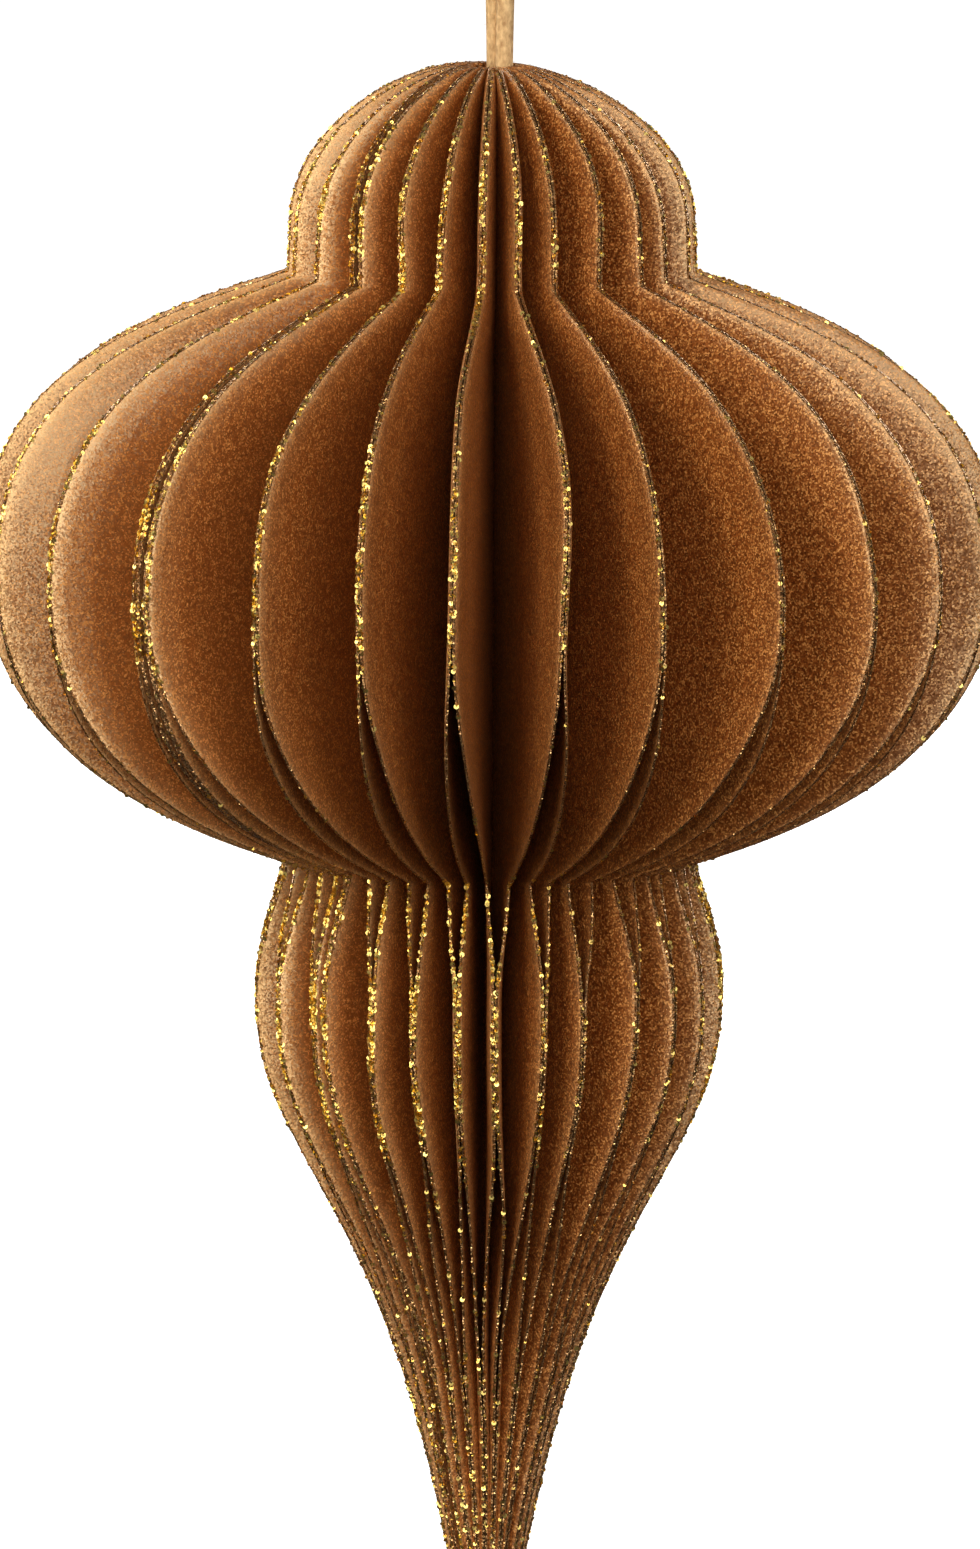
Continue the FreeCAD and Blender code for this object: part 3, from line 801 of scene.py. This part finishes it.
# The studio: a pale floor and backdrop, soft lights, and the camera of the photograph.
FLOOR_DROP = 0.08
FLOOR_HALF = 8
WALL_SIDES = 48
WALL_RADIUS = 7.5
WALL_HEIGHT = 12
SHEET_BRIGHTNESS = 1.0
PHOTO_WIDTH = 980
PHOTO_HEIGHT = 1549
PIXELS_PER_METRE = 8830
AXIS_PIXEL = 490
CROWN_PIXEL = 67.9
ELEVATION = math.radians(7.4)
ROLL = math.radians(0.25)
DISTANCE = 2.2
SENSOR = 36
CLIP_END = 50


def stage_sheet(name, corners, faces):
    """A white glowing sheet of the studio, which lights nothing but is seen behind the part."""
    sheet = meshed(name, corners, faces)
    material, _, _, shader = blank_material(name + "_white")
    shader.inputs["Base Color"].default_value = (0.9, 0.9, 0.9, 1)
    shader.inputs["Roughness"].default_value = 0.9
    shader.inputs["Emission Color"].default_value = (1, 1, 1, 1)
    shader.inputs["Emission Strength"].default_value = SHEET_BRIGHTNESS
    sheet.data.materials.append(material)
    sheet.visible_diffuse = False
    sheet.visible_glossy = False
    return sheet


floor_height = TIP - FLOOR_DROP
floor_corners = [(x * FLOOR_HALF, y * FLOOR_HALF, floor_height)
                 for x, y in ((-1, -1), (1, -1), (1, 1), (-1, 1))]
stage_sheet("floor", floor_corners, [(0, 1, 2, 3)])
wall_corners = []
for height in (floor_height, floor_height + WALL_HEIGHT):
    for k in range(WALL_SIDES):
        turn = math.tau * k / WALL_SIDES
        wall_corners.append((WALL_RADIUS * math.cos(turn), WALL_RADIUS * math.sin(turn), height))
wall_faces = []
for k in range(WALL_SIDES):
    after = (k + 1) % WALL_SIDES
    wall_faces.append((k, WALL_SIDES + k, WALL_SIDES + after, after))
backdrop = stage_sheet("backdrop", wall_corners, wall_faces)
backdrop.visible_shadow = False

camera = bpy.data.cameras.new("camera")
camera_object = placed("camera", camera)
camera.sensor_width = SENSOR
camera.lens = SENSOR * DISTANCE * PIXELS_PER_METRE / PHOTO_HEIGHT
camera.clip_end = CLIP_END
middle_drop = (PHOTO_HEIGHT / 2 - CROWN_PIXEL) / PIXELS_PER_METRE / math.cos(ELEVATION)
aim = Vector(((PHOTO_WIDTH / 2 - AXIS_PIXEL) / PIXELS_PER_METRE, 0, CROWN - middle_drop))
away = Vector((0, -math.cos(ELEVATION), math.sin(ELEVATION)))
camera_object.location = aim + away * DISTANCE
tilted = Matrix.Rotation(math.pi / 2 - ELEVATION, 4, "X") @ Matrix.Rotation(ROLL, 4, "Z")
camera_object.rotation_euler = tilted.to_euler()
bpy.context.scene.camera = camera_object


LIGHT_TARGET = (0, 0, -0.12)


def soft_light(name, place, size, power, colour):
    """A rectangular lamp that faces the finial and isn't seen by the camera."""
    light = bpy.data.lights.new(name, "AREA")
    light.shape = "RECTANGLE"
    light.size = size[0]
    light.size_y = size[1]
    light.energy = power
    light.color = colour
    lamp = placed(name, light)
    lamp.location = place
    facing = Vector(LIGHT_TARGET) - Vector(place)
    lamp.rotation_euler = facing.to_track_quat("-Z", "Y").to_euler()
    lamp.visible_camera = False


soft_light("front_key", (0.12, -1.65, 0.1), (0.7, 0.7), 4.2, (1.0, 0.98, 0.95))
soft_light("front_left", (-0.75, -1.45, 0.25), (0.7, 0.9), 10, (1.0, 0.95, 0.86))
soft_light("front_right", (0.75, -1.45, 0.25), (0.7, 0.9), 8.8, (1.0, 0.98, 0.95))
soft_light("front_high", (0.1, -1.35, 0.85), (0.8, 0.6), 4.0, (1.0, 0.98, 0.95))
soft_light("left_high", (-1.0, -1.1, 0.95), (0.6, 0.6), 7, (1.0, 0.92, 0.76))
soft_light("left_side", (-1.4, 0.1, 0.25), (0.7, 1.0), 11, (1.0, 0.96, 0.88))
soft_light("right_side", (1.4, -0.1, 0.2), (0.7, 1.0), 3, (1.0, 0.97, 0.92))
soft_light("back_left", (-0.8, 1.5, 0.3), (0.7, 0.9), 11, (1.0, 0.98, 0.95))
soft_light("back_right", (0.8, 1.5, 0.3), (0.7, 0.9), 11, (1.0, 0.98, 0.95))

world = bpy.data.worlds.new("studio")
bpy.context.scene.world = world
world.use_nodes = True
nodes = world.node_tree.nodes
links = world.node_tree.links
place = nodes.new("ShaderNodeTexCoord")
apart = nodes.new("ShaderNodeSeparateXYZ")
fade = nodes.new("ShaderNodeMapRange")
for socket, value in (("From Min", -0.6), ("From Max", 0.8), ("To Min", 0.03), ("To Max", 0.12)):
    fade.inputs[socket].default_value = value
links.new(place.outputs["Generated"], apart.inputs["Vector"])
links.new(apart.outputs["Z"], fade.inputs["Value"])
links.new(fade.outputs["Result"], nodes["Background"].inputs["Strength"])
nodes["Background"].inputs["Color"].default_value = (1, 0.99, 0.97, 1)
bpy.context.scene.view_settings.view_transform = "Standard"
